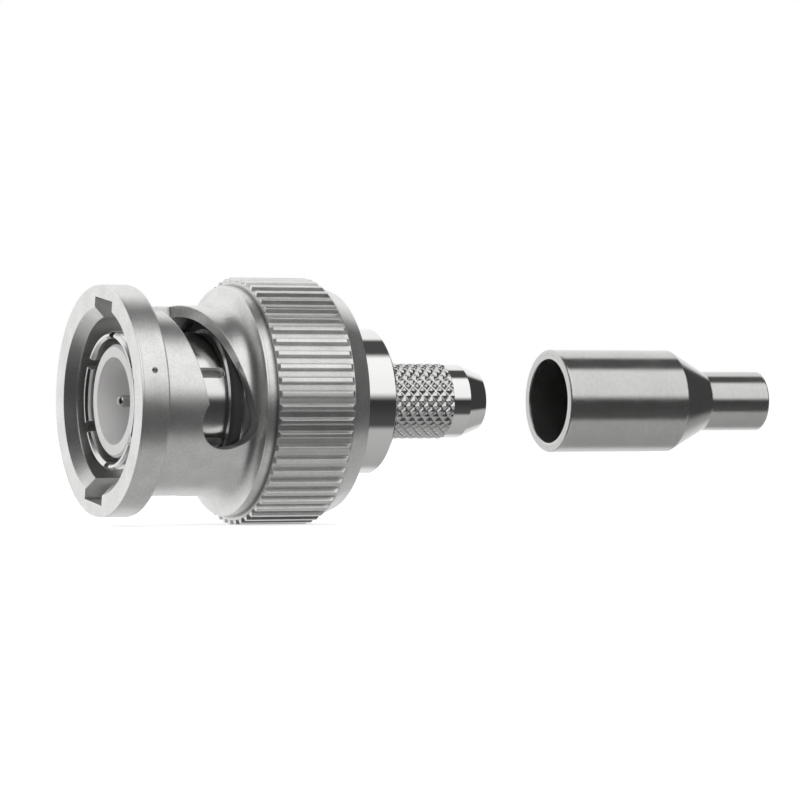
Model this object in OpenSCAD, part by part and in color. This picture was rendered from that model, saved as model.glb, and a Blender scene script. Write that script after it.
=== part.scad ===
// Straight bayonet coaxial plug for a crimped cable, with its crimp ferrule.
// The plug lies along X with its mating face at X = 0 and its cable end towards +X.
// Every piece is drawn about its own Z axis and then laid along X by along_x().

/* [Coupling nut] */
// Diameter over the knurled grip
nut_d = 14.5; // [14.2:0.1:15.5]
// Diameter of the front flange
flange_d = 13.5; // [13.2:0.1:14]
// Length of the front flange
flange_len = 1.7; // [1.2:0.1:2]
// Wall of the slotted neck around the bore
neck_wall = 0.675; // [0.6:0.025:0.8]
// Radius of the concave blend from the neck to the shoulder
neck_blend = 1.15; // [0.6:0.05:1.2]
// Web between the detents and the shoulder
shoulder_web = 0.2; // [0.1:0.05:0.6]
// Length of the plain ring between the shoulder and the grip
ring_len = 0.62; // [0.4:0.02:1]
// Length of the grip before its rear chamfer
grip_len = 4.82; // [4.6:0.02:5.4]
// Length of the rear chamfer
tail_len = 1.15; // [1:0.05:1.6]
// Width of the lip around the rear opening
tail_lip = 0.88; // [0.6:0.02:1]
// Width of the countersink in the front face
mouth_w = 0.6; // [0.5:0.05:0.9]
// Depth of the countersink
mouth_depth = 0.6; // [0.3:0.05:0.9]
// Diameter of the index dot punched in the flange
dot_d = 0.36; // [0.3:0.05:0.8]

/* [Grip ridges] */
// Number of straight ridges around the grip
ridge_count = 56; // [40:2:64]
// Depth of the grooves between the ridges
ridge_depth = 0.26; // [0.2:0.02:0.4]
// Share of each pitch taken by the ridge's land
ridge_land = 0.3; // [0.2:0.01:0.5]
// Share of each pitch taken by the groove's floor
ridge_floor = 0.44; // [0.2:0.01:0.48]
// Length of the slope at the front of each ridge
ridge_front = 0.08; // [0.04:0.02:0.3]
// Length of the slope at the rear of each ridge
ridge_rear = 0.26; // [0.1:0.02:0.5]

/* [Bayonet slots] */
// Width of the two keyways in the flange
key_w = 2.6; // [2.2:0.1:2.8]
// Depth of the keyways beyond the bore
key_depth = 1.05; // [1:0.05:1.4]
// Turn of the first keyway from the top of the nut
key_turn = 8; // [0:1:30]
// Turn from the keyway to the middle of the detent
detent_turn = 95; // [88:1:97]
// Distance from the mating face to the slot's front edge at the keyway
slot_at = 2.87; // [2.6:0.05:3.2]
// Advance of the slot's front edge per degree of turn
slot_lead = 0.0208; // [0.018:0.0002:0.023]
// Width of the slot at the keyway, measured along the plug
slot_w = 2.32; // [2.2:0.02:2.5]
// Radius of the round detent
detent_r = 1.65; // [1.55:0.02:1.75]
// How far the detent dips in front of the slot's edge
detent_dip = 0.59; // [0.4:0.01:0.65]

/* [Body] */
// Thickness of the flange that carries the nut
body_flange_len = 1.6; // [1.2:0.1:1.8]
// Length of the body in front of that flange
body_nose_len = 1.35; // [1.2:0.05:1.5]
// Length of the body behind that flange
body_tail_len = 3.35; // [3.2:0.05:3.6]
// Wall of the body's nose around the outer contact
nose_wall = 0.64; // [0.5:0.02:0.7]
// Wall of the body around the collar's spigot
tail_wall = 0.425; // [0.3:0.025:0.6]

/* [Outer contact] */
// Diameter of the slotted outer contact
contact_d = 8.06; // [8:0.01:8.15]
// Wall thickness of the outer contact
contact_wall = 0.42; // [0.35:0.01:0.5]
// Step up to the thicker root that is pressed in the body
root_step = 0.17; // [0.1:0.01:0.25]
// Setback of its rim from the mating face
contact_at = 0.64; // [0.4:0.02:0.9]
// Number of slots between its fingers
finger_slots = 6; // [4:1:8]
// Width of each slot
finger_gap = 0.63; // [0.4:0.01:0.8]
// Solid stretch between the slots and the thicker root
finger_base = 0.21; // [0.15:0.01:0.8]

/* [Insulator and pin] */
// Gap between the front insulator and the outer contact's fingers
insulator_gap = 0.32; // [0.2:0.02:0.4]
// Wall of the front insulator around its bore
insulator_wall = 0.74; // [0.6:0.02:0.9]
// Setback of the insulator's rim from the mating face
insulator_at = 0.94; // [0.8:0.02:1.2]
// Depth of the insulator's bore
insulator_depth = 5.2; // [4.6:0.1:5.4]
// Diameter of the centre contact
pin_d = 1.36; // [1.3:0.01:1.4]
// Diameter of the centre contact's nose
pin_nose_d = 0.72; // [0.6:0.02:0.8]
// Length of the centre contact's nose
pin_nose_len = 0.95; // [0.6:0.05:1.2]
// Length of the cone behind the nose
pin_cone_len = 0.9; // [0.5:0.05:1.2]
// Setback of the centre contact's tip from the mating face
pin_at = 1.17; // [1:0.01:1.4]
// Bore of the centre contact's rear pot, for the cable's inner conductor
pin_pot_d = 0.56; // [0.5:0.02:0.7]

/* [Collar and barrel] */
// Diameter of the collar behind the nut
collar_d = 8.65; // [8.6:0.05:8.8]
// Distance from the nut's rear face to the collar's rear face
collar_proud = 2.85; // [2.4:0.05:3.4]
// Diameter of the plain barrel that the braid goes over
barrel_d = 4.4; // [4.3:0.05:4.5]
// Length of the cross-cut band on the barrel
cross_len = 4.7; // [3.76:0.47:5.64]
// Length of the plain barrel behind the band
barrel_plain_len = 1.1; // [0.8:0.1:1.6]
// Length of the barrel's taper
barrel_taper_len = 1.25; // [0.8:0.05:1.5]
// Diameter of the barrel's tip
barrel_tip_d = 3.45; // [3.2:0.05:3.7]
// Bore for the cable's dielectric
cable_bore_d = 1.7; // [1.6:0.02:1.8]
// Number of diamonds around the cross-cut band
cross_count = 16; // [12:1:20]
// Depth of the cross cuts
cross_depth = 0.2; // [0.12:0.02:0.26]
// Wall of the spigot that is pressed in the body
spigot_wall = 0.75; // [0.6:0.05:0.9]

/* [Crimp ferrule] */
// Room for the cable's braid between the barrel and the ferrule
braid_room = 0.35; // [0.3:0.05:0.45]
// Wall of the wide end
ferrule_wall = 0.55; // [0.4:0.05:0.7]
// Length of the wide end
ferrule_len = 8; // [7:0.1:9]
// Length of the cone between the two ends
cone_len = 2.4; // [1.6:0.1:3]
// Bore of the narrow end, for the cable's jacket
jacket_bore_d = 2.9; // [2.8:0.02:3]
// Wall of the narrow end
narrow_wall = 0.35; // [0.3:0.05:0.5]
// Length of the narrow end
narrow_len = 3.95; // [3:0.05:5]
// Gap between the collar and the ferrule while it waits to be fitted
ferrule_gap = 12.1; // [9:0.1:16]

/* [Springs and rings] */
// Thickness of the wave washers
wave_t = 0.2; // [0.15:0.01:0.25]
// Height of each wave washer, from crest to trough
wave_h = 1.15; // [1.05:0.01:1.2]
// Number of waves in each washer
wave_count = 3; // [3:1:4]
// Width of the thrust washer's ring
thrust_w = 1.1; // [0.9:0.05:1.2]
// Thickness of the thrust washer
thrust_t = 0.55; // [0.4:0.05:0.6]
// Thickness of the retaining ring
snap_t = 0.6; // [0.4:0.05:0.65]
// Depth of the retaining ring's groove
snap_depth = 0.35; // [0.25:0.05:0.4]
// Opening in the retaining ring
snap_gap = 2.4; // [1.5:0.1:3]
// Thickness of the gasket around the outer contact
gasket_t = 0.5; // [0.4:0.05:0.55]

/* [Clearances] */
// Running clearance on the radius between the nut and the body
run = 0.06; // [0.03:0.01:0.09]
// Gap between faces that slide past each other
face_gap = 0.03; // [0.02:0.01:0.05]
// Bevel on the machined edges
edge = 0.15; // [0.08:0.01:0.2]

/* [Hidden] */
$fn = 96;

// Overlap of pieces of one solid, and the reach of a cut past what it cuts
lap = 0.2;
over = 1;

// Outer contact and body, from the inside out
contact_r = contact_d / 2;
contact_bore_r = contact_r - contact_wall;
body_bore_r = contact_r + root_step;
body_nose_r = body_bore_r + nose_wall;
body_tail_r = collar_d / 2;
spigot_r = body_tail_r - tail_wall;
nut_bore_r = body_nose_r + run;

// Springs and rings run clear of the body's tail and of the nut's chamber
ring_room = 0.12;
wave_room = 0.15;
ring_inner_r = body_tail_r + ring_room;
chamber_r = ring_inner_r + thrust_w + run;
wave_outer_r = chamber_r - wave_room;
body_flange_r = chamber_r - run;

// Nut, across
nut_r = nut_d / 2;
flange_r = flange_d / 2;
neck_r = nut_bore_r + neck_wall;
root_r = nut_r - ridge_depth;
tail_r = chamber_r + tail_lip;

// Bayonet: the slot's rear edge runs on as a tangent to the detent
neck_arc = neck_r * PI / 180;
detent_z = slot_at + slot_lead * detent_turn + detent_r - detent_dip;
slot_rear_at = slot_at + slot_w;
detent_away = [detent_turn * neck_arc, detent_z - slot_rear_at];
rear_slope = atan2(detent_away[1], detent_away[0]) + asin(detent_r / norm(detent_away));
rear_lead = tan(rear_slope) * neck_arc;
tangent_turn = detent_turn - detent_r * sin(rear_slope) / neck_arc;
key_end = slot_at + slot_w / 2;

// Nut, from front to rear
shoulder_at = detent_z + detent_r + shoulder_web;
grip_at = shoulder_at + ring_len;
tail_at = grip_at + grip_len;
nut_len = tail_at + tail_len;
chamber_at = grip_at;

// Ridges, sunk a little in the core; their flanks carry on past the crest and are trimmed
pitch = 360 / ridge_count;
ridge_sink = 0.05;
land_half = pitch * ridge_land / 2;
flank_per_mm = pitch * (1 - ridge_land - ridge_floor) / 2 / ridge_depth;

// Body and gasket, from front to rear
body_flange_at = chamber_at + face_gap;
body_at = body_flange_at - body_nose_len;
body_flange_end = body_flange_at + body_flange_len;
body_end = body_flange_end + body_tail_len;
seat_depth = 1;
seat_end = body_flange_at + seat_depth;
gasket_at = body_at - gasket_t;
gasket_room = 0.1;
finger_root = gasket_at - finger_base;

// Springs and rings, stacked behind the body's flange
wave_front_at = body_flange_end + face_gap;
wave_rear_at = wave_front_at + wave_h + face_gap;
thrust_at = wave_rear_at + wave_h + face_gap;
snap_at = thrust_at + thrust_t + face_gap;

// Insulators and pin
insulator_r = contact_bore_r - insulator_gap;
insulator_bore_r = insulator_r - insulator_wall;
insulator_floor = insulator_at + insulator_depth;
foot_at = insulator_floor + 0.3;
insulator_end = seat_end - 0.9;
pin_r = pin_d / 2;
pin_shoulder_r = pin_r + 0.45;
pin_shoulder_at = insulator_end - 0.6;
pin_pot_r = pin_r + 0.12;
pin_pot_floor = insulator_end + 0.6;
pin_end = body_end + 0.4;
rear_insulator_r = spigot_r - spigot_wall;

// Collar and barrel
spigot_at = seat_end + 0.8;
pot_end = body_end + 0.6;
collar_end = nut_len + collar_proud;
barrel_r = barrel_d / 2;
cross_at = collar_end - lap;
cross_end = collar_end + cross_len;
taper_at = cross_end + barrel_plain_len;
barrel_end = taper_at + barrel_taper_len;
cross_step = 0.47;
cross_rows = 2 * round(cross_len / cross_step / 2);
cross_top_r = barrel_r + 0.05;
cross_core_r = barrel_r - 0.25;

// Ferrule
ferrule_bore_r = barrel_r + braid_room;
ferrule_r = ferrule_bore_r + ferrule_wall;
jacket_bore_r = jacket_bore_d / 2;
narrow_r = jacket_bore_r + narrow_wall;
ferrule_at = collar_end + ferrule_gap;
ferrule_cone_at = ferrule_at + ferrule_len;
narrow_at = ferrule_cone_at + cone_len;
ferrule_end = narrow_at + narrow_len;

// Lays a piece drawn about Z along X, keeping its top upwards
module along_x() {
  rotate([0, 90, 0]) rotate(180) children();
}

// A ring or disc between two places along the axis
module ring(outer_r, inner_r, from, to) {
  rotate_extrude()
    translate([inner_r, from]) square([outer_r - inner_r, to - from]);
}

// Repeats its children evenly around the axis
module around(count) {
  for (i = [0 : count - 1]) rotate(i * 360 / count) children();
}

// A point on a cylinder
function on_circle(r, turn, z) = [r * cos(turn), r * sin(turn), z];

// ---- Coupling nut ----

// Outside of the nut in front of the grip: flange, neck, concave blend and plain ring
module nut_front_profile() {
  difference() {
    union() {
      polygon([
        [0, 0], [flange_r - edge, 0], [flange_r, edge], [flange_r, flange_len - edge / 2],
        [flange_r - edge / 2, flange_len], [0, flange_len]
      ]);
      square([neck_r + neck_blend, grip_at]);
      polygon([
        [0, shoulder_at], [flange_r - edge, shoulder_at], [flange_r, shoulder_at + edge],
        [flange_r, grip_at], [0, grip_at]
      ]);
    }
    translate([neck_r, flange_len]) square([nut_r, shoulder_at - neck_blend - flange_len]);
    translate([neck_r + neck_blend, shoulder_at - neck_blend]) circle(r = neck_blend);
  }
}

// Core of the grip, with the smooth chamfer behind it
module grip_core_profile() {
  polygon([
    [0, grip_at - lap], [flange_r - lap, grip_at - lap], [flange_r - lap, grip_at],
    [root_r, grip_at], [root_r, tail_at], [tail_r, nut_len], [0, nut_len]
  ]);
}

// Envelope of the ridges, which slope down to the core at both ends
module ridge_profile() {
  polygon([
    [root_r - ridge_sink, grip_at + ridge_sink / 2], [nut_r, grip_at + ridge_front],
    [nut_r, tail_at - ridge_rear], [root_r - ridge_sink, tail_at]
  ]);
}

// Half the turn that a ridge takes at a radius
function ridge_half(r) = land_half + flank_per_mm * (nut_r - r);

// Cross-section of the ridges; the plug lies on two of them
module ridge_section() {
  base_r = root_r - 2 * ridge_sink;
  top_r = nut_r + ridge_sink;
  polygon([
    for (i = [0 : ridge_count - 1])
      for (corner = [[base_r, -1], [top_r, -1], [top_r, 1], [base_r, 1]])
        let (turn = (i + 0.5) * pitch + corner[1] * ridge_half(corner[0]))
          corner[0] * [cos(turn), sin(turn)]
  ]);
}

// Inside of the nut: countersink, bore, chamber and retaining groove
module nut_inside_profile() {
  groove_at = snap_at - face_gap;
  groove_end = snap_at + snap_t + face_gap;
  polygon([
    [0, -over], [nut_bore_r + mouth_w, -over], [nut_bore_r + mouth_w, 0],
    [nut_bore_r, mouth_depth], [nut_bore_r, chamber_at], [chamber_r, chamber_at],
    [chamber_r, groove_at], [chamber_r + snap_depth, groove_at],
    [chamber_r + snap_depth, groove_end], [chamber_r, groove_end],
    [chamber_r, nut_len + over], [0, nut_len + over]
  ]);
}

// Helical slot from the keyway until its rear edge meets the detent
module helical_slot() {
  steps = 32;
  inner_r = nut_bore_r - lap;
  past_key = 1;
  first = -asin(key_w / 2 / nut_bore_r) - past_key;
  corners = [
    for (i = [0 : steps])
      let (
        turn = first + (tangent_turn - first) * i / steps,
        from = slot_at + slot_lead * turn,
        to = slot_rear_at + rear_lead * turn
      )
        for (c = [[inner_r, from], [nut_r, from], [nut_r, to], [inner_r, to]])
          on_circle(c[0], turn, c[1])
  ];
  sides = [
    for (i = [0 : steps - 1])
      for (k = [0 : 3])
        let (a = 4 * i + k, b = 4 * i + (k + 1) % 4)
          each [[a, b, b + 4], [a, b + 4, a + 4]]
  ];
  end = 4 * steps;
  caps = [[3, 2, 1], [3, 1, 0], [end, end + 1, end + 2], [end, end + 2, end + 3]];
  polyhedron(corners, concat(sides, caps), convexity = 4);
}

// Keyway, helical slot and round detent for one stud
module bayonet_path() {
  translate([0, -key_w / 2, -over]) cube([nut_bore_r + key_depth, key_w, key_end + over]);
  helical_slot();
  rotate(detent_turn) translate([0, 0, detent_z]) rotate([0, 90, 0])
    cylinder(r = detent_r, h = nut_r);
}

// Punched dot on the flange that shows where the first detent is
module index_dot() {
  dot_turn = 75;
  rotate(dot_turn) translate([flange_r, 0, flange_len / 2]) rotate([0, 90, 0])
    cylinder(d1 = 0, d2 = 2 * dot_d, h = dot_d, center = true, $fn = 24);
}

module coupling_nut() {
  color([0.78, 0.78, 0.77]) along_x() difference() {
    union() {
      rotate_extrude() nut_front_profile();
      rotate_extrude() grip_core_profile();
      intersection() {
        translate([0, 0, grip_at - over]) linear_extrude(grip_len + 2 * over) ridge_section();
        rotate_extrude() ridge_profile();
      }
    }
    rotate_extrude() nut_inside_profile();
    rotate(key_turn) around(2) bayonet_path();
    index_dot();
  }
}

// Sprung ring, open on one side, that holds the stack in the nut
module retaining_ring() {
  color([0.6, 0.6, 0.6]) along_x() difference() {
    ring(chamber_r + snap_depth - face_gap, ring_inner_r, snap_at, snap_at + snap_t);
    translate([0, -snap_gap / 2, snap_at - over])
      cube([nut_r, snap_gap, snap_t + 2 * over]);
  }
}

module thrust_washer() {
  color([0.7, 0.7, 0.7]) along_x()
    ring(ring_inner_r + thrust_w, ring_inner_r, thrust_at, thrust_at + thrust_t);
}

// ---- Wave washers ----

// A flat ring bent into even waves, resting on its crests
module wave_washer(from, phase) {
  steps = 24 * wave_count;
  swing = (wave_h - wave_t) / 2;
  corners = [
    for (i = [0 : steps - 1])
      let (
        turn = 360 * i / steps,
        mid = from + wave_h / 2 + swing * cos(wave_count * turn + phase)
      )
        for (c = [
          [ring_inner_r, -wave_t / 2], [wave_outer_r, -wave_t / 2],
          [wave_outer_r, wave_t / 2], [ring_inner_r, wave_t / 2]
        ])
          on_circle(c[0], turn, mid + c[1])
  ];
  sides = [
    for (i = [0 : steps - 1])
      for (k = [0 : 3])
        let (
          next = 4 * ((i + 1) % steps),
          a = 4 * i + k, b = 4 * i + (k + 1) % 4,
          c = next + (k + 1) % 4, d = next + k
        )
          each [[a, b, c], [a, c, d]]
  ];
  polyhedron(corners, sides, convexity = 6);
}

module wave_washer_front() {
  color([0.62, 0.62, 0.6]) along_x() wave_washer(wave_front_at, 0);
}

module wave_washer_rear() {
  color([0.62, 0.62, 0.6]) along_x() wave_washer(wave_rear_at, 180);
}

// ---- Body, outer contact and gasket ----

// Stepped shell that carries the nut on its flange and the outer contact in its nose
module plug_body() {
  color([0.72, 0.72, 0.72]) along_x() rotate_extrude() polygon([
    [body_bore_r, body_at], [body_nose_r - edge / 2, body_at],
    [body_nose_r, body_at + edge / 2], [body_nose_r, body_flange_at],
    [body_flange_r, body_flange_at], [body_flange_r, body_flange_end],
    [body_tail_r, body_flange_end], [body_tail_r, body_end],
    [spigot_r, body_end], [spigot_r, seat_end], [body_bore_r, seat_end]
  ]);
}

module gasket() {
  color([0.12, 0.12, 0.12]) along_x()
    ring(body_nose_r - gasket_room, body_bore_r, gasket_at, body_at);
}

// Sleeve sawn into springy fingers, with a thicker root that is pressed in the body
module contact_sleeve() {
  slot_end_r = finger_gap / 2;
  slot_end_at = finger_root - slot_end_r;
  first_slot_turn = key_turn - 2;
  color([0.84, 0.84, 0.83]) along_x() difference() {
    rotate_extrude() polygon([
      [contact_bore_r + edge, contact_at], [contact_r - edge, contact_at],
      [contact_r, contact_at + edge], [contact_r, gasket_at],
      [body_bore_r, gasket_at], [body_bore_r, seat_end],
      [contact_bore_r, seat_end], [contact_bore_r, contact_at + edge]
    ]);
    rotate(first_slot_turn) around(finger_slots) {
      translate([0, -slot_end_r, -over]) cube([nut_r, finger_gap, slot_end_at + over]);
      translate([0, 0, slot_end_at]) rotate([0, 90, 0]) cylinder(r = slot_end_r, h = nut_r);
    }
  }
}

// ---- Insulators and centre contact ----

// Cup that surrounds the pin, with a wider foot held in the outer contact
module front_insulator() {
  color([0.93, 0.93, 0.92]) along_x() rotate_extrude() polygon([
    [insulator_bore_r, insulator_at], [insulator_r - edge, insulator_at],
    [insulator_r, insulator_at + edge], [insulator_r, foot_at],
    [contact_bore_r, foot_at], [contact_bore_r, insulator_end],
    [pin_shoulder_r, insulator_end], [pin_shoulder_r, pin_shoulder_at],
    [pin_r, pin_shoulder_at], [pin_r, insulator_floor], [insulator_bore_r, insulator_floor]
  ]);
}

// Bush that locks the centre contact from behind
module rear_insulator() {
  color([0.93, 0.93, 0.92]) along_x() rotate_extrude() polygon([
    [pin_pot_r, insulator_end], [contact_bore_r, insulator_end],
    [contact_bore_r, seat_end], [rear_insulator_r, seat_end],
    [rear_insulator_r, body_end], [pin_pot_r, body_end]
  ]);
}

// Turned pin: round nose, cone, shaft, shoulder and a drilled pot for the wire
module centre_contact() {
  nose_r = pin_nose_d / 2;
  nose_end = pin_at + pin_nose_len;
  shaft_at = nose_end + pin_cone_len;
  color([0.8, 0.8, 0.78]) along_x() rotate_extrude() {
    intersection() {
      translate([0, pin_at + nose_r]) circle(r = nose_r);
      translate([0, pin_at]) square([nose_r, nose_r]);
    }
    polygon([
      [0, pin_at + nose_r], [nose_r, pin_at + nose_r], [nose_r, nose_end],
      [pin_r, shaft_at], [pin_r, pin_shoulder_at], [pin_shoulder_r, pin_shoulder_at],
      [pin_shoulder_r, insulator_end], [pin_pot_r, insulator_end], [pin_pot_r, pin_end],
      [pin_pot_d / 2, pin_end], [pin_pot_d / 2, pin_pot_floor], [0, pin_pot_floor]
    ]);
  }
}

// ---- Collar and barrel ----

// Cross-cut band: peaks and crossings alternate on a grid, and the cuts run between crossings
module cross_cut_band() {
  columns = 2 * cross_count;
  row_len = (cross_end - cross_at) / cross_rows;
  corners = [
    for (j = [0 : cross_rows])
      for (i = [0 : columns - 1])
        let (peak = (i + j) % 2 == 0)
          on_circle(cross_top_r - (peak ? 0 : cross_depth), 360 * i / columns,
            cross_at + j * row_len)
  ];
  sides = [
    for (j = [0 : cross_rows - 1])
      for (i = [0 : columns - 1])
        let (
          next = (i + 1) % columns,
          a = j * columns + i, b = j * columns + next,
          c = b + columns, d = a + columns
        )
          each ((i + j) % 2 == 0 ? [[a, d, b], [b, d, c]] : [[a, c, b], [a, d, c]])
  ];
  last_row = cross_rows * columns;
  hubs = [[0, 0, cross_at], [0, 0, cross_end]];
  front_hub = last_row + columns;
  ends = [
    for (i = [0 : columns - 1])
      let (next = (i + 1) % columns)
        each [[i, next, front_hub], [last_row + next, last_row + i, front_hub + 1]]
  ];
  polyhedron(concat(corners, hubs), concat(sides, ends), convexity = 4);
}

// Collar, spigot and barrel, turned in one piece and drilled for the cable
module crimp_body() {
  color([0.82, 0.82, 0.82]) along_x() difference() {
    union() {
      rotate_extrude() polygon([
        [0, spigot_at], [spigot_r, spigot_at], [spigot_r, body_end], [body_tail_r, body_end],
        [body_tail_r, collar_end - edge], [body_tail_r - edge, collar_end],
        [cross_core_r, collar_end], [cross_core_r, cross_end], [barrel_r, cross_end],
        [barrel_r, taper_at], [barrel_tip_d / 2, barrel_end], [0, barrel_end]
      ]);
      cross_cut_band();
    }
    rotate_extrude() polygon([
      [0, spigot_at - over], [rear_insulator_r, spigot_at - over], [rear_insulator_r, pot_end],
      [cable_bore_d / 2, pot_end], [cable_bore_d / 2, barrel_end + over], [0, barrel_end + over]
    ]);
  }
}

// ---- Crimp ferrule ----

module crimp_ferrule() {
  color([0.8, 0.8, 0.8]) along_x() rotate_extrude() polygon([
    [ferrule_bore_r, ferrule_at], [ferrule_r - edge / 2, ferrule_at],
    [ferrule_r, ferrule_at + edge / 2], [ferrule_r, ferrule_cone_at],
    [narrow_r, narrow_at], [narrow_r, ferrule_end],
    [jacket_bore_r, ferrule_end], [jacket_bore_r, narrow_at],
    [ferrule_bore_r, ferrule_cone_at]
  ]);
}

coupling_nut();
retaining_ring();
thrust_washer();
wave_washer_front();
wave_washer_rear();
plug_body();
gasket();
contact_sleeve();
front_insulator();
rear_insulator();
centre_contact();
crimp_body();
crimp_ferrule();
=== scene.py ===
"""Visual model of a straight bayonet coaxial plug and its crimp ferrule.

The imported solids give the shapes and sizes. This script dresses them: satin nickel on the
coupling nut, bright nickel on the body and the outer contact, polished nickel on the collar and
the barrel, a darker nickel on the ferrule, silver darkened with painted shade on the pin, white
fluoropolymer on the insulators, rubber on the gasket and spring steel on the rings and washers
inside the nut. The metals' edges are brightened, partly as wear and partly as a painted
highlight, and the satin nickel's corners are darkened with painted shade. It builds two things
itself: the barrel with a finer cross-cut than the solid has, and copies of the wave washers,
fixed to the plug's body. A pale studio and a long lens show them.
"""
from __future__ import annotations

import logging
import math
from dataclasses import dataclass
from enum import Enum
from typing import NamedTuple

import bpy
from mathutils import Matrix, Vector

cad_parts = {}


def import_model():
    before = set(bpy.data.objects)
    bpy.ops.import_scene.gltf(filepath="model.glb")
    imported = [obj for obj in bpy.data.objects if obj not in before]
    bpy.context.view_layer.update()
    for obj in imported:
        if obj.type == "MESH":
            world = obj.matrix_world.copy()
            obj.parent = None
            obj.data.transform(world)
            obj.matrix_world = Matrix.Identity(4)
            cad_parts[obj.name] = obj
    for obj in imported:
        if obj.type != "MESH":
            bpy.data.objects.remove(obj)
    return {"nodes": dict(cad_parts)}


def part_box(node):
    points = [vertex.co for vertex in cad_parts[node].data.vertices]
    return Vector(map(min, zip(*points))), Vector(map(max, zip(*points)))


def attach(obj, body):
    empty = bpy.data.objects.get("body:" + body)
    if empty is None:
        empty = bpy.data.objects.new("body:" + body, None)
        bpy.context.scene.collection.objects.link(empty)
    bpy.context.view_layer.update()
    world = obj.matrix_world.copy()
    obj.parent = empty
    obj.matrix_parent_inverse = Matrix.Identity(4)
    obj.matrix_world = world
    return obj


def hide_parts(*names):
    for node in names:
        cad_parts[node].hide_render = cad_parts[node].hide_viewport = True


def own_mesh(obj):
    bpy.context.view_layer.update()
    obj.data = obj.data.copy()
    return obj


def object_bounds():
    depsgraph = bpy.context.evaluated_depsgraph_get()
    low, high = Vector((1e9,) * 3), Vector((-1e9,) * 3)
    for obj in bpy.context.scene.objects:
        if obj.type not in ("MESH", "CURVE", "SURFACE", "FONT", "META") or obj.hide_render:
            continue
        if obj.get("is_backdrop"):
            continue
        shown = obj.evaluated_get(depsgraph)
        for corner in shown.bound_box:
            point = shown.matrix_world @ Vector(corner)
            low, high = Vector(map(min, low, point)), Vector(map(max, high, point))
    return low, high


LOG = logging.getLogger("bayonet_plug")
MM = 0.001

Colour = tuple[float, float, float]
Point = tuple[float, float, float]
Span = tuple[float, float]

# The height that a bump gives to tool marks at full strength.
MARK_DEPTH = 0.01 * MM
# The colour of the painted shade that darkens a metal's corners.
CORNER_SHADE_COLOUR: Colour = (0.10, 0.10, 0.095)


class Lay(Enum):
    """The way that the tool marks run on a metal piece."""

    TURNED = "turned"
    TUMBLED = "tumbled"


# ---------------------------------------------------------------------------
# Helpers
# ---------------------------------------------------------------------------


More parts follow.
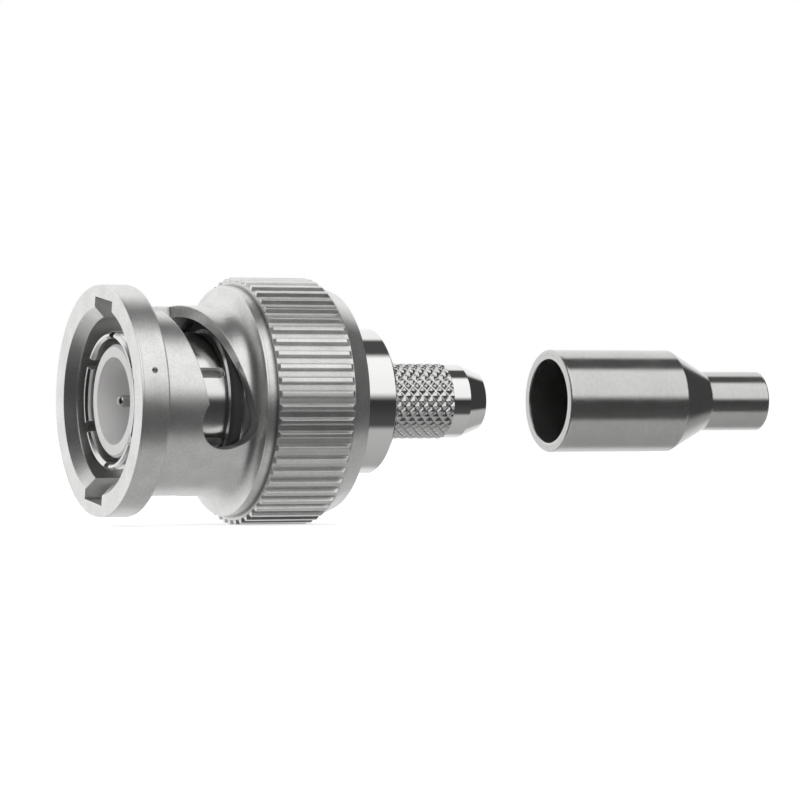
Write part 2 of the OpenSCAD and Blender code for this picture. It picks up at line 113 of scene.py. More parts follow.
@dataclass
class Graph:
    """A thin wrapper that adds and links nodes in one node tree."""

    tree: bpy.types.NodeTree

    def add(self, kind: str, **settings: object) -> bpy.types.Node:
        """Add a node.

        Args:
            kind: The node's type name, without the ShaderNode prefix.
            settings: Attributes to set on the node.

        Returns:
            The new node.
        """
        node = self.tree.nodes.new("ShaderNode" + kind)
        for name, value in settings.items():
            setattr(node, name, value)
        return node

    def feed(self, node: bpy.types.Node, socket: str | int, source: object) -> None:
        """Link a socket to a source, or set its value.

        Args:
            node: The node that owns the input.
            socket: The input's name or place.
            source: An output socket to link, or a plain value.
        """
        target = node.inputs[socket]
        if isinstance(source, bpy.types.NodeSocket):
            self.tree.links.new(source, target)
        else:
            target.default_value = source

    def math(self, operation: str, *sources: object, clamp: bool = False) -> bpy.types.NodeSocket:
        """Add a Math node and return its output.

        Args:
            operation: The Math node's operation.
            sources: Up to three values or sockets.
            clamp: Whether the result is kept between 0 and 1.

        Returns:
            The node's output socket.
        """
        node = self.add("Math", operation=operation, use_clamp=clamp)
        for place, source in enumerate(sources):
            self.feed(node, place, source)
        return node.outputs[0]

    def noise(self, vector: object, scale: float, detail: float = 2.0,
              roughness: float = 0.5) -> bpy.types.NodeSocket:
        """Add a noise texture and return its value.

        Args:
            vector: The texture's coordinates.
            scale: Features per metre of the coordinates.
            detail: Number of octaves.
            roughness: How strong the finer octaves are.

        Returns:
            The noise's Fac socket.
        """
        node = self.add("TexNoise", noise_dimensions="3D")
        self.feed(node, "Vector", vector)
        self.feed(node, "Scale", scale)
        self.feed(node, "Detail", detail)
        self.feed(node, "Roughness", roughness)
        return node.outputs["Fac"]

    def span(self, value: object, low: float, high: float, to_low: float = 0.0,
             to_high: float = 1.0, smooth: bool = False) -> bpy.types.NodeSocket:
        """Map one range onto another and clamp it.

        Args:
            value: The value to map.
            low: The value that gives to_low.
            high: The value that gives to_high.
            to_low: Result at low.
            to_high: Result at high.
            smooth: Whether the ramp eases in and out.

        Returns:
            The mapped value's socket.
        """
        node = self.add("MapRange", clamp=True,
                        interpolation_type="SMOOTHSTEP" if smooth else "LINEAR")
        for name, source in (("Value", value), ("From Min", low), ("From Max", high),
                             ("To Min", to_low), ("To Max", to_high)):
            self.feed(node, name, source)
        return node.outputs["Result"]

    def mix(self, factor: object, first: object, second: object) -> bpy.types.NodeSocket:
        """Mix two colours.

        Args:
            factor: How much of the second colour there is.
            first: The colour at 0.
            second: The colour at 1.

        Returns:
            The mixed colour's socket.
        """
        # The node has sockets of every kind under the same names, so colours go by place.
        node = self.add("Mix", data_type="RGBA")
        for place, source in ((0, factor), (6, first), (7, second)):
            self.feed(node, place, source)
        return node.outputs[2]

    def split(self, vector: object) -> bpy.types.bpy_prop_collection:
        """Take a vector apart.

        Args:
            vector: The vector's socket.

        Returns:
            Outputs named X, Y and Z.
        """
        node = self.add("SeparateXYZ")
        self.feed(node, 0, vector)
        return node.outputs

    def place(self) -> bpy.types.NodeSocket:
        """Return the shaded point in the object's own coordinates."""
        return self.add("TexCoord").outputs["Object"]

    def rounding(self, radius: object, samples: int) -> bpy.types.NodeSocket:
        """Round the edges in the shading.

        Args:
            radius: The rounding's radius.
            samples: Rays for each shaded point.

        Returns:
            The rounded normal's socket.
        """
        node = self.add("Bevel", samples=samples)
        self.feed(node, "Radius", radius)
        return node.outputs["Normal"]

    def bump(self, height: object, strength: float,
             normal: bpy.types.NodeSocket | None = None) -> bpy.types.NodeSocket:
        """Add a bump.

        Args:
            height: The marks' height.
            strength: How strongly they show.
            normal: The normal to start from, or None for the surface's own.

        Returns:
            The bumped normal's socket.
        """
        node = self.add("Bump")
        for name, source in (("Strength", strength), ("Distance", MARK_DEPTH),
                             ("Height", height)):
            self.feed(node, name, source)
        if normal is not None:
            self.feed(node, "Normal", normal)
        return node.outputs["Normal"]

    def group(self, tree: bpy.types.NodeTree, **values: float) -> bpy.types.bpy_prop_collection:
        """Place a node group.

        Args:
            tree: The group.
            values: Values for its inputs. The others keep their defaults.

        Returns:
            The group's outputs.
        """
        node = self.add("Group")
        node.node_tree = tree
        for name, value in values.items():
            self.feed(node, name, value)
        return node.outputs


def new_group(name: str, inputs: dict[str, float], outputs: list[str]) -> tuple[
        bpy.types.NodeTree, Graph, bpy.types.bpy_prop_collection, bpy.types.Node]:
    """Start a shader node group with float sockets.

    Args:
        name: The group's name.
        inputs: Each input's name and default value.
        outputs: The names of the float outputs.

    Returns:
        The group, its graph, the sockets that bring its inputs in, and its output node.
    """
    tree = bpy.data.node_groups.new(name, "ShaderNodeTree")
    for label, default in inputs.items():
        socket = tree.interface.new_socket(label, in_out="INPUT", socket_type="NodeSocketFloat")
        socket.default_value = default
    for label in outputs:
        tree.interface.new_socket(label, in_out="OUTPUT", socket_type="NodeSocketFloat")
    inlet = tree.nodes.new("NodeGroupInput")
    return tree, Graph(tree), inlet.outputs, tree.nodes.new("NodeGroupOutput")


def new_material(name: str) -> tuple[bpy.types.Material, Graph, bpy.types.Node]:
    """Start a material.

    Args:
        name: The material's name.

    Returns:
        The material, its graph and its Principled node.
    """
    material = bpy.data.materials.new(name)
    material.use_nodes = True
    return material, Graph(material.node_tree), material.node_tree.nodes["Principled BSDF"]


def new_object(name: str, data: bpy.types.ID) -> bpy.types.Object:
    """Make an object and add it to the scene.

    Args:
        name: The object's name.
        data: Its mesh, lamp or camera.

    Returns:
        The new object.
    """
    thing = bpy.data.objects.new(name, data)
    bpy.context.scene.collection.objects.link(thing)
    return thing


def rgba(colour: Colour) -> tuple[float, float, float, float]:
    """Return a colour with full alpha."""
    return (*colour, 1.0)


def grey(tone: float) -> tuple[float, float, float, float]:
    """Return a grey with full alpha."""
    return rgba((tone, tone, tone))


# ---------------------------------------------------------------------------
# Shared effects
# ---------------------------------------------------------------------------


class Effects:
    """The node groups that several finishes share, each built once."""

    # Both kinds of marks lie over a broader pattern: its scale, as a share of their own.
    turned_broad: float = 0.13
    tumbled_broad: float = 0.12
    tumbled_broad_share: float = 0.6
    # Cosine between the rounded and the plain normal where the edge wear and its painted
    # highlight start and where they are full.
    wear_highlight_span: Span = (0.985, 0.86)
    # Where rubbing leaves gaps in the wear, as features per metre and levels of the noise.
    gap_scale: float = 3500.0
    gap_span: Span = (0.3, 0.6)
    # Openness of a corner where the painted shade starts and where it is full.
    corner_shade_span: Span = (0.92, 0.45)
    haze_span: Span = (0.42, 0.72)

    def __init__(self) -> None:
        """Build every group."""
        self.turned = self._turned_lines()
        self.tumbled = self._tumbled_grain()
        self.wear_highlight_and_shade = self._edge_wear_highlight_and_shade()
        self.haze = self._handling_haze()

    def _turned_lines(self) -> bpy.types.NodeTree:
        """Build fine lines that run round the plug's axis.

        Returns:
            A group with a Scale input and a Height output.
        """
        tree, g, inlet, outlet = new_group("turned_lines", {"Scale": 9000.0}, ["Height"])
        part = g.split(g.place())
        radius = g.math("SQRT", g.math("ADD", g.math("MULTIPLY", part["Y"], part["Y"]),
                                       g.math("MULTIPLY", part["Z"], part["Z"])))
        lines = g.add("CombineXYZ")
        g.feed(lines, "X", g.math("MULTIPLY", part["X"], inlet["Scale"]))
        g.feed(lines, "Y", g.math("MULTIPLY", radius, inlet["Scale"]))
        fine = g.noise(lines.outputs[0], scale=1.0, detail=3.0, roughness=0.6)
        broad = g.noise(lines.outputs[0], scale=self.turned_broad, detail=1.0)
        g.feed(outlet, "Height", g.math("ADD", fine, broad))
        return tree

    def _tumbled_grain(self) -> bpy.types.NodeTree:
        """Build the soft grain of a barrel-tumbled and plated surface.

        Returns:
            A group with a Scale input and a Height output.
        """
        tree, g, inlet, outlet = new_group("tumbled_grain", {"Scale": 5000.0}, ["Height"])
        place = g.place()
        fine = g.noise(place, inlet["Scale"], detail=4.0, roughness=0.65)
        broad = g.noise(place, g.math("MULTIPLY", inlet["Scale"], self.tumbled_broad))
        g.feed(outlet, "Height", g.math(
            "ADD", fine, g.math("MULTIPLY", broad, self.tumbled_broad_share)))
        return tree

    def _edge_wear_highlight_and_shade(self) -> bpy.types.NodeTree:
        """Build masks for outer edges, where plating rubs thin and a painted highlight brightens
        them, and for the painted shade in corners.

        Returns:
            A group with Radius, Breakup and Hollow inputs, and outputs for the edge mask and for
            the corner shade mask.
        """
        tree, g, inlet, outlet = new_group(
            "edge_wear_highlight_and_shade", {"Radius": 0.12 * MM, "Breakup": 0.5, "Hollow": 0.3 * MM},
            ["EdgeWearAndHighlight", "CornerShade"])
        dot = g.add("VectorMath", operation="DOT_PRODUCT")
        g.feed(dot, 0, g.rounding(inlet["Radius"], samples=4))
        g.feed(dot, 1, g.add("NewGeometry").outputs["Normal"])
        # The edge mask brightens edges, partly as wear and partly as a painted highlight.
        edge = g.span(dot.outputs["Value"], *self.wear_highlight_span)
        rubbed = g.span(g.noise(g.place(), self.gap_scale, detail=3.0), *self.gap_span)
        gaps = g.math("MULTIPLY", inlet["Breakup"], g.math("SUBTRACT", 1.0, rubbed))
        g.feed(outlet, "EdgeWearAndHighlight", g.math("MULTIPLY", edge, g.math("SUBTRACT", 1.0, gaps),
                                      clamp=True))
        # Occlusion in the corners gives the mask for the painted shade.
        hollow = g.add("AmbientOcclusion", samples=8, only_local=True)
        g.feed(hollow, "Distance", inlet["Hollow"])
        g.feed(outlet, "CornerShade", g.span(hollow.outputs["AO"], *self.corner_shade_span))
        return tree

    def _handling_haze(self) -> bpy.types.NodeTree:
        """Build the faint haze that handling leaves on bright metal and plastic.

        Returns:
            A group with Scale and Strength inputs and a Haze output.
        """
        tree, g, inlet, outlet = new_group(
            "handling_haze", {"Scale": 350.0, "Strength": 1.0}, ["Haze"])
        cloud = g.noise(g.place(), inlet["Scale"], detail=5.0, roughness=0.62)
        g.feed(outlet, "Haze", g.math("MULTIPLY", g.span(cloud, *self.haze_span, smooth=True),
                                      inlet["Strength"]))
        return tree


# ---------------------------------------------------------------------------
# Finishes
# ---------------------------------------------------------------------------


@dataclass(frozen=True)
class MetalFinish:
    """A plated or bare metal with its tool marks, wear, painted edge highlight, haze and painted
    shade.

    The roughness is that of clean metal, and haze is what handling adds to it. The grain counts
    tool marks per metre, bump says how strongly they show, and speckle how much they darken the
    colour. The worn colour brightens the edges, partly as wear and partly as a painted highlight,
    and the corner shade setting says how much painted shade darkens the corners.
    """

    name: str
    colour: Colour
    worn_highlight: Colour
    roughness: float
    haze: float
    lay: Lay
    grain: float
    edge_radius: float = 0.05 * MM
    bump: float = 0.12
    speckle: float = 0.06
    metallic: float = 1.0
    corner_shade: float = 0.0
    ior: float = 1.8
    # The edge wear and its painted highlight reach further from an edge than its rounding does.
    wear_highlight_reach: float = 2.2
    # Heights of the marks between which the speckle grows, and the tone that it brings.
    speckle_span: Span = (0.6, 1.0)
    speckle_tone: float = 0.75

    def _colour(self, g: Graph, height: bpy.types.NodeSocket,
                wear_highlight_and_shade: bpy.types.bpy_prop_collection) -> bpy.types.NodeSocket:
        """Lay speckle, edge wear with its painted highlight, and painted corner shade over the
        plain colour.

        Args:
            g: The material's graph.
            height: The tool marks' height.
            wear_highlight_and_shade: The outputs of the group that gives the edge wear with its
                painted highlight and the painted corner shade.

        Returns:
            The colour's socket.
        """
        speckle = g.math("MULTIPLY", g.span(height, *self.speckle_span), self.speckle)
        dark = rgba(tuple(self.speckle_tone * part for part in self.colour))
        shade = g.mix(speckle, rgba(self.colour), dark)
        # The worn colour brightens the edges: partly wear, partly a painted highlight.
        shade = g.mix(wear_highlight_and_shade["EdgeWearAndHighlight"], shade, rgba(self.worn_highlight))
        # Painted shade: the corners are darkened towards the shade colour.
        if self.corner_shade:
            shade = g.mix(g.math("MULTIPLY", wear_highlight_and_shade["CornerShade"], self.corner_shade), shade, rgba(CORNER_SHADE_COLOUR))
        return shade

    def build(self, effects: Effects) -> bpy.types.Material:
        """Build the material.

        Args:
            effects: The shared node groups.

        Returns:
            The new material.
        """
        material, g, shader = new_material(self.name)
        g.feed(shader, "Metallic", self.metallic)
        g.feed(shader, "IOR", self.ior)
        lay_group = effects.turned if self.lay is Lay.TURNED else effects.tumbled
        height = g.group(lay_group, Scale=self.grain)["Height"]
        wear_highlight_and_shade = g.group(effects.wear_highlight_and_shade, Radius=self.edge_radius * self.wear_highlight_reach)
        haze = g.group(effects.haze, Strength=self.haze)["Haze"]
        g.feed(shader, "Base Color", self._colour(g, height, wear_highlight_and_shade))
        g.feed(shader, "Roughness", g.math("ADD", self.roughness, haze))
        g.feed(shader, "Normal",
               g.bump(height, self.bump, g.rounding(self.edge_radius, samples=6)))
        return material


@dataclass(frozen=True)
class MouldedFinish:
    """A turned or moulded plastic or rubber, with a duller colour where it was handled."""

    name: str
    colour: Colour
    dull: Colour
    roughness: float
    grain: float
    scatter: float = 0.0
    scatter_reach: float = 0.4 * MM
    bump: float = 0.15
    haze_scale: float = 500.0
    # What the haze does to the colour and to the roughness.
    dulling: float = 0.35
    roughening: float = 0.12

    def build(self, effects: Effects) -> bpy.types.Material:
        """Build the material.

        Args:
            effects: The shared node groups.

        Returns:
            The new material.
        """
        material, g, shader = new_material(self.name)
        g.feed(shader, "Subsurface Weight", self.scatter)
        g.feed(shader, "Subsurface Scale", self.scatter_reach)
        height = g.group(effects.turned, Scale=self.grain)["Height"]
        haze = g.group(effects.haze, Scale=self.haze_scale)["Haze"]
        g.feed(shader, "Base Color", g.mix(g.math("MULTIPLY", haze, self.dulling),
                                           rgba(self.colour), rgba(self.dull)))
        g.feed(shader, "Roughness", g.math(
            "ADD", self.roughness, g.math("MULTIPLY", haze, self.roughening)))
        g.feed(shader, "Normal", g.bump(height, self.bump))
        return material


# Each metal's worn colour brightens its edges, partly as wear and partly as a painted highlight.
SATIN_NICKEL = MetalFinish(
    "satin_nickel", colour=(0.81, 0.81, 0.80), worn_highlight=(0.90, 0.90, 0.89), roughness=0.30,
    haze=0.06, lay=Lay.TUMBLED, grain=7000.0, edge_radius=0.07 * MM, bump=0.35, speckle=0.7,
    # The satin nickel's corners get painted shade.
    metallic=0.95, corner_shade=0.8)
BRIGHT_NICKEL = MetalFinish(
    "bright_nickel", colour=(0.76, 0.76, 0.75), worn_highlight=(0.84, 0.84, 0.83), roughness=0.16,
    haze=0.06, lay=Lay.TURNED, grain=9000.0)
POLISHED_NICKEL = MetalFinish(
    "polished_nickel", colour=(0.80, 0.80, 0.79), worn_highlight=(0.86, 0.86, 0.85), roughness=0.07,
    haze=0.05, lay=Lay.TURNED, grain=6000.0, bump=0.08)
FERRULE_NICKEL = MetalFinish(
    "ferrule_nickel", colour=(0.56, 0.56, 0.55), worn_highlight=(0.70, 0.70, 0.69), roughness=0.15,
    haze=0.06, lay=Lay.TUMBLED, grain=4000.0, edge_radius=0.16 * MM, speckle=0.35,
    metallic=0.95)
CROSS_CUT_NICKEL = MetalFinish(
    "cross_cut_nickel", colour=(0.70, 0.70, 0.69), worn_highlight=(0.84, 0.84, 0.83), roughness=0.20,
    haze=0.06, lay=Lay.TUMBLED, grain=6000.0, edge_radius=0.03 * MM, bump=0.2, speckle=0.3)
# The pin's silver is kept dark, a painted shade that stands in for the shade on its shaft.
SHADED_PIN_SILVER = MetalFinish(
    "pin_silver_painted_shade", colour=(0.60, 0.60, 0.58), worn_highlight=(0.92, 0.92, 0.90), roughness=0.14,
    haze=0.04, lay=Lay.TURNED, grain=12000.0)
SPRING_STEEL = MetalFinish(
    "spring_steel", colour=(0.50, 0.50, 0.50), worn_highlight=(0.62, 0.62, 0.61), roughness=0.28,
    haze=0.08, lay=Lay.TUMBLED, grain=5000.0)
WHITE_PTFE = MouldedFinish(
    "white_ptfe", colour=(0.71, 0.71, 0.705), dull=(0.63, 0.63, 0.62), roughness=0.42,
    grain=7000.0, scatter=0.15)
GASKET_RUBBER = MouldedFinish(
    "gasket_rubber", colour=(0.03, 0.03, 0.03), dull=(0.06, 0.06, 0.06), roughness=0.65,
    grain=3000.0)
Finish = MetalFinish | MouldedFinish


class Wardrobe:
    """Builds each finish once and puts it on nodes."""

    def __init__(self, effects: Effects, nodes: dict[str, bpy.types.Object]) -> None:
        """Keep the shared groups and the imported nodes.

        Args:
            effects: The shared node groups.
            nodes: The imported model's objects by name.
        """
        self.effects = effects
        self.nodes = nodes
        self.made: dict[str, bpy.types.Material] = {}

    def material(self, finish: Finish) -> bpy.types.Material:
        """Return a finish's material, built the first time that it is asked for.

        Args:
            finish: The finish.

        Returns:
            Its material.
        """
        if finish.name not in self.made:
            self.made[finish.name] = finish.build(self.effects)
        return self.made[finish.name]

    def coat(self, mesh: bpy.types.Mesh, *finishes: Finish) -> None:
        """Give a mesh its finishes in place of what it has.

        Args:
            mesh: The mesh.
            finishes: The finishes, in the order of the mesh's material slots.
        """
        mesh.materials.clear()
        for finish in finishes:
            mesh.materials.append(self.material(finish))

    def dress(self, name: str, finish: Finish) -> None:
        """Give a node its finish in place of its plain one.

        Args:
            name: The node's name.
            finish: The finish to put on it.
        """
        self.coat(self.nodes[name].data, finish)
        LOG.info("dressed %s in %s", name, finish.name)


# ---------------------------------------------------------------------------
# Sub-assemblies
# ---------------------------------------------------------------------------


@dataclass
class NutAssembly:
    """The coupling nut with its springs, thrust washer and retaining ring.

    The pull is how far nut_slide draws the nut back against the springs. It is not used.
    """

    wardrobe: Wardrobe
    nut: str = "coupling_nut"
    stops: tuple[str, ...] = ("retaining_ring", "thrust_washer")
    springs: tuple[str, ...] = ("wave_washer_front", "wave_washer_rear")
    pull: float = 0.5 * MM

    def build(self) -> None:
        """Dress the nut and the stack inside it."""
        self.wardrobe.dress(self.nut, SATIN_NICKEL)
        for name in self.stops:
            self.wardrobe.dress(name, SPRING_STEEL)
        for name in self.springs:
            self._spring(name)

    def _spring(self, name: str) -> None:
        """Show a copy of a wave washer in spring steel, fixed to the plug's body, in place of its
        node.

        Args:
            name: The washer's node.
        """
        washer = new_object(name + "_sprung", self.wardrobe.nodes[name].data.copy())
        self.wardrobe.coat(washer.data, SPRING_STEEL)
        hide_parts(name)
        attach(washer, "plug")
        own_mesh(washer)
        LOG.info("built %s", washer.name)


@dataclass
class FrontContacts:
    """The plug's body with the slotted outer contact, the insulators, the pin and the gasket."""

    wardrobe: Wardrobe
    insulators: tuple[str, ...] = ("front_insulator", "rear_insulator")

    def build(self) -> None:
        """Dress the body and what it holds."""
        self.wardrobe.dress("plug_body", BRIGHT_NICKEL)
        self.wardrobe.dress("contact_sleeve", BRIGHT_NICKEL)
        self.wardrobe.dress("centre_contact", SHADED_PIN_SILVER)
        self.wardrobe.dress("gasket", GASKET_RUBBER)
        for name in self.insulators:
            self.wardrobe.dress(name, WHITE_PTFE)


class Ring(NamedTuple):
    """One ring of a turned outline, in millimetres."""

    place: float
    radius: float
    cut: bool = False


@dataclass
class CrossCutBody:
    """The collar and the barrel, turned in one piece, with a fine cross-cut band.

    Lengths are in millimetres. Places along the axis count back from the barrel's end, and the
    pocket is the bore that takes the rear insulator. Each cut has as many steps across it, which
    are the mesh's grid.
    """

    wardrobe: Wardrobe
    node: str = "crimp_body"
    collar_r: float = 4.325
    collar_edge: float = 0.15
    collar_face: float = 7.05
    collar_back: float = 10.89
    spigot_r: float = 3.9
    pocket_r: float = 3.15
    pocket_floor: float = 10.29
    bore_r: float = 0.85
    band_end: float = 2.35
    band_top_r: float = 2.25
    cut_depth: float = 0.11
    cuts_round: int = 22
    cuts_along: int = 8
    steps: int = 8
    barrel_r: float = 2.2
    taper: float = 1.25
    tip_r: float = 1.725
    sharp_degrees: float = 18.0

    @property
    def _sides(self) -> int:
        """Points in each ring."""
        return self.cuts_round * self.steps

    def _outline(self, low: float, high: float) -> list[Ring]:
        """List the rings of the closed outline, from the spigot's front round and back.

        Args:
            low: The piece's front along the axis.
            high: The barrel's end along the axis.

        Returns:
            The rings. Those in the cross-cut band are marked as cut.
        """
        face, back = high - self.collar_face, high - self.collar_back
        band, floor = high - self.band_end, high - self.pocket_floor
        rows = self.cuts_along * self.steps
        return [
            Ring(low, self.pocket_r), Ring(low, self.spigot_r), Ring(back, self.spigot_r),
            Ring(back, self.collar_r), Ring(face - self.collar_edge, self.collar_r),
            Ring(face, self.collar_r - self.collar_edge),
            *(Ring(face + (band - face) * row / rows, self.band_top_r, cut=True)
              for row in range(rows + 1)),
            Ring(band, self.barrel_r), Ring(high - self.taper, self.barrel_r),
            Ring(high, self.tip_r), Ring(high, self.bore_r), Ring(floor, self.bore_r),
            Ring(floor, self.pocket_r)]

    def _cut(self, row: int, column: int) -> float:
        """Return how far the cross-cut sinks the surface at one grid point.

        Two families of helical grooves cross, and the nearer groove sets the depth.

        Args:
            row: The point's row along the band.
            column: The point's column round the barrel.

        Returns:
            The depth below the band's top.
        """
        rise = 1.0
        for sign in (1, -1):
            phase = ((column + sign * row) / self.steps) % 1.0
            rise = min(rise, abs(phase - 0.5) * 2)
        return self.cut_depth * (1 - rise) ** 2

    def _points(self, rings: list[Ring]) -> list[Point]:
        """Turn the rings round the axis and sink the cuts.

        Args:
            rings: The outline's rings.

        Returns:
            Every ring's points in metres, ring after ring.
        """
        points: list[Point] = []
        row = 0
        for ring in rings:
            for column in range(self._sides):
                angle = math.tau * column / self._sides
                r = ring.radius - (self._cut(row, column) if ring.cut else 0.0)
                points.append((ring.place * MM, r * math.sin(angle) * MM,
                               r * math.cos(angle) * MM))
            row += ring.cut
        return points

    def _faces(self, rings: list[Ring]) -> tuple[list[tuple[int, ...]], list[int]]:
        """Join each ring to the next, and the last to the first.

        Args:
            rings: The outline's rings.

        Returns:
            The faces' points, and each face's material slot: 1 in the band and 0 elsewhere.
        """
        faces: list[tuple[int, ...]] = []
        slots: list[int] = []
        for place, ring in enumerate(rings):
            after = (place + 1) % len(rings)
            here, there = place * self._sides, after * self._sides
            for column in range(self._sides):
                beside = (column + 1) % self._sides
                faces.append((here + column, there + column, there + beside, here + beside))
                slots.append(int(ring.cut and rings[after].cut))
        return faces, slots

    def build(self) -> None:
        """Build the piece in place of its node."""
        low, high = (corner[0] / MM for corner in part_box(self.node))
        rings = self._outline(low, high)
        faces, slots = self._faces(rings)
        mesh = bpy.data.meshes.new("cross_cut_body")
        mesh.from_pydata(self._points(rings), [], faces)
        self.wardrobe.coat(mesh, POLISHED_NICKEL, CROSS_CUT_NICKEL)
        mesh.polygons.foreach_set("material_index", slots)
        mesh.shade_smooth()
        mesh.set_sharp_from_angle(angle=math.radians(self.sharp_degrees))
        piece = new_object("cross_cut_body", mesh)
        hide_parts(self.node)
        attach(piece, "plug")
        LOG.info("built %s with %d faces", piece.name, len(faces))


@dataclass
class CableEnd:
    """The collar, the cross-cut barrel and the crimp ferrule."""

    wardrobe: Wardrobe

    def build(self) -> None:
        """Build and dress the two pieces that grip the cable."""
        CrossCutBody(self.wardrobe).build()
        self.wardrobe.dress("crimp_ferrule", FERRULE_NICKEL)


# ---------------------------------------------------------------------------
# Studio
# ---------------------------------------------------------------------------


@dataclass(frozen=True)
class Room:
    """What surrounds the plug: white to the camera, banded in reflections, plain otherwise.

    The bands stand for soft boxes, the gaps between them and the dark room behind the camera.
    """

    # Turn round the plug's axis from the front towards the top in degrees, and radiance.
    tones: tuple[tuple[float, float], ...] = (
        (-180, 1.05), (-142, 0.85), (-122, 0.45), (-48, 0.52), (-38, 0.08), (0, 0.04),
        (15, 1.10), (70, 1.18), (82, 0.08), (108, 0.08), (118, 1.05), (180, 1.05))
    # Past the mouth, the room goes from dark in front of the plug to bright behind it.
    # Directions are parts of a unit vector: here X fades to the bands, and Y goes front to back.
    mouth_x: Span = (-0.64, -0.48)
    mouth_y: Span = (0.0, 0.90)
    mouth_tones: Span = (0.02, 1.08)
    # Past the cable end, all but the lowest part of the room is dark.
    end_x: Span = (0.70, 0.82)
    end_z: Span = (-0.38, -0.26)
    end_tone: float = 0.05
    plain_tone: float = 0.9
    plain_light: float = 0.45

    def _bands(self, g: Graph, toward: bpy.types.bpy_prop_collection) -> bpy.types.NodeSocket:
        """Band the room by the turn round the plug's axis.

        Args:
            g: The world's graph.
            toward: Outputs named X, Y and Z that give the ray's direction.

        Returns:
            The bands' colour socket.
        """
        turn = g.math("ARCTAN2", toward["Z"], g.math("MULTIPLY", toward["Y"], -1.0))
        ramp = g.add("ValToRGB")
        ramp.color_ramp.interpolation = "EASE"
        stops = ramp.color_ramp.elements
        while len(stops) < len(self.tones):
            stops.new(1.0)
        for stop, (angle, tone) in zip(stops, self.tones):
            stop.position = (angle + 180) / 360
            stop.color = grey(tone)
        g.feed(ramp, "Fac", g.span(turn, -math.pi, math.pi))
        return ramp.outputs["Color"]

    def _reflected(self, g: Graph) -> bpy.types.NodeSocket:
        """Put the mouth's room, the bands and the dark end together.

        Args:
            g: The world's graph.

        Returns:
            The colour socket that reflections see.
        """
        toward = g.split(g.add("TexCoord").outputs["Generated"])
        mouth = g.span(toward["Y"], *self.mouth_y, *self.mouth_tones)
        around = g.mix(g.span(toward["X"], *self.mouth_x, smooth=True), mouth,
                       self._bands(g, toward))
        end = g.math("MULTIPLY", g.span(toward["X"], *self.end_x, smooth=True),
                     g.span(toward["Z"], *self.end_z, smooth=True))
        return g.mix(end, around, grey(self.end_tone))

    @staticmethod
    def _light(g: Graph, colour: object, strength: float = 1.0) -> bpy.types.NodeSocket:
        """Add a background.

        Args:
            g: The world's graph.
            colour: Its colour.
            strength: Its strength.

        Returns:
            Its shader socket.
        """
        node = g.add("Background")
        g.feed(node, "Color", colour)
        g.feed(node, "Strength", strength)
        return node.outputs[0]

    def build(self) -> None:
        """Make the world."""
        world = bpy.data.worlds.new("studio")
        bpy.context.scene.world = world
        world.use_nodes = True
        world.node_tree.nodes.clear()
        g = Graph(world.node_tree)
        rays = g.add("LightPath").outputs
        light = self._light(g, grey(self.plain_tone), self.plain_light)
        for kind, other in (("Is Glossy Ray", self._light(g, self._reflected(g))),
                            ("Is Camera Ray", self._light(g, grey(1.0)))):
            choice = g.add("MixShader")
            for place, source in enumerate((rays[kind], light, other)):
                g.feed(choice, place, source)
            light = choice.outputs[0]
        g.feed(g.add("OutputWorld"), "Surface", light)


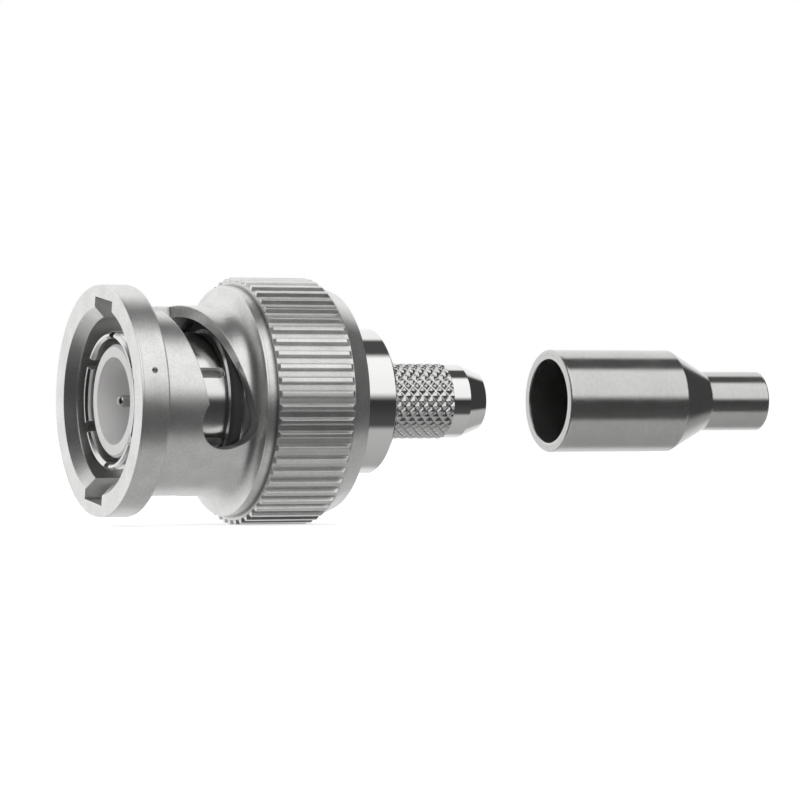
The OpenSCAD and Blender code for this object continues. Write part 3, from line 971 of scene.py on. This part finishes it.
@dataclass(frozen=True)
class FloorSheet:
    """A white sheet that keeps a soft shadow of the plug."""

    z: float
    reach: float = 0.6
    tones: Span = (0.90, 0.94)
    grain: float = 900.0
    roughness: float = 0.9
    # Emission that only the camera sees, which lifts the sheet to white.
    glow: float = 0.60

    def _material(self) -> bpy.types.Material:
        """Build the sheet's material.

        Returns:
            The new material.
        """
        material, g, shader = new_material("white_sheet")
        g.feed(shader, "Roughness", self.roughness)
        grain = g.noise(g.place(), self.grain, detail=3.0)
        g.feed(shader, "Base Color", g.mix(grain, *(grey(tone) for tone in self.tones)))
        glow = g.add("Emission")
        g.feed(glow, "Strength", g.math(
            "MULTIPLY", g.add("LightPath").outputs["Is Camera Ray"], self.glow))
        both = g.add("AddShader")
        g.feed(both, 0, shader.outputs[0])
        g.feed(both, 1, glow.outputs[0])
        g.feed(material.node_tree.nodes["Material Output"], "Surface", both.outputs[0])
        return material

    def build(self) -> None:
        """Lay the sheet."""
        mesh = bpy.data.meshes.new("floor_sheet")
        r, z = self.reach, self.z
        mesh.from_pydata([(-r, -r, z), (r, -r, z), (r, r, z), (-r, r, z)], [], [(0, 1, 2, 3)])
        mesh.materials.append(self._material())
        floor = new_object("floor_sheet", mesh)
        floor.visible_glossy = False
        floor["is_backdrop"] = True


@dataclass(frozen=True)
class SoftBox:
    """A square lamp that faces the plug and shows in no reflection."""

    name: str
    place: Point
    size: float
    power: float

    def build(self) -> None:
        """Hang the lamp."""
        lamp = bpy.data.lights.new(self.name, "AREA")
        lamp.shape = "SQUARE"
        lamp.size = self.size
        lamp.energy = self.power
        holder = new_object(self.name, lamp)
        holder.location = self.place
        holder.rotation_euler = (-Vector(self.place)).to_track_quat("-Z", "Y").to_euler()
        holder.visible_glossy = False


@dataclass(frozen=True)
class LongLens:
    """A level camera that looks a little towards the plug's front."""

    lens: float = 215.0
    distance: float = 0.285
    axis_turn: float = 64.5
    aim: Point = (19.35 * MM, 0.0, 0.06 * MM)
    clip: Span = (0.01, 20.0)

    def build(self) -> None:
        """Set up the camera."""
        data = bpy.data.cameras.new("long_lens")
        data.lens = self.lens
        data.clip_start, data.clip_end = self.clip
        turn = math.radians(self.axis_turn)
        sight = Vector((math.cos(turn), math.sin(turn), 0.0))
        camera = new_object("long_lens", data)
        camera.location = Vector(self.aim) - sight * self.distance
        camera.rotation_euler = sight.to_track_quat("-Z", "Y").to_euler()
        bpy.context.scene.camera = camera


@dataclass(frozen=True)
class Studio:
    """The room, the floor, the lamps and the camera."""

    floor_z: float
    boxes: tuple[SoftBox, ...] = (
        SoftBox("soft_box_front", (-0.10, -0.30, 0.34), size=0.25, power=0.9),
        SoftBox("soft_box_mouth", (-0.45, -0.04, 0.06), size=0.20, power=0.6),
        SoftBox("soft_box_back", (0.15, 0.30, 0.30), size=0.30, power=0.7))

    def build(self) -> None:
        """Build each part of the studio."""
        for part in (Room(), FloorSheet(self.floor_z), *self.boxes, LongLens()):
            part.build()


# ---------------------------------------------------------------------------
# Main
# ---------------------------------------------------------------------------


def corners() -> list[list[float]]:
    """Return the shown model's lowest and highest corners as plain numbers."""
    return [list(corner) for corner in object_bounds()]


def main() -> None:
    """Load the frame, dress each sub-assembly and set the studio."""
    logging.basicConfig(level=logging.INFO, format="%(message)s")
    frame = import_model()
    cad_box = corners()
    bpy.context.scene.view_settings.view_transform = "Standard"
    wardrobe = Wardrobe(Effects(), frame["nodes"])
    for assembly in (NutAssembly(wardrobe), FrontContacts(wardrobe), CableEnd(wardrobe)):
        assembly.build()
        LOG.info("built %s", type(assembly).__name__)
    Studio(floor_z=cad_box[0][2]).build()


if __name__ == "__main__":
    main()
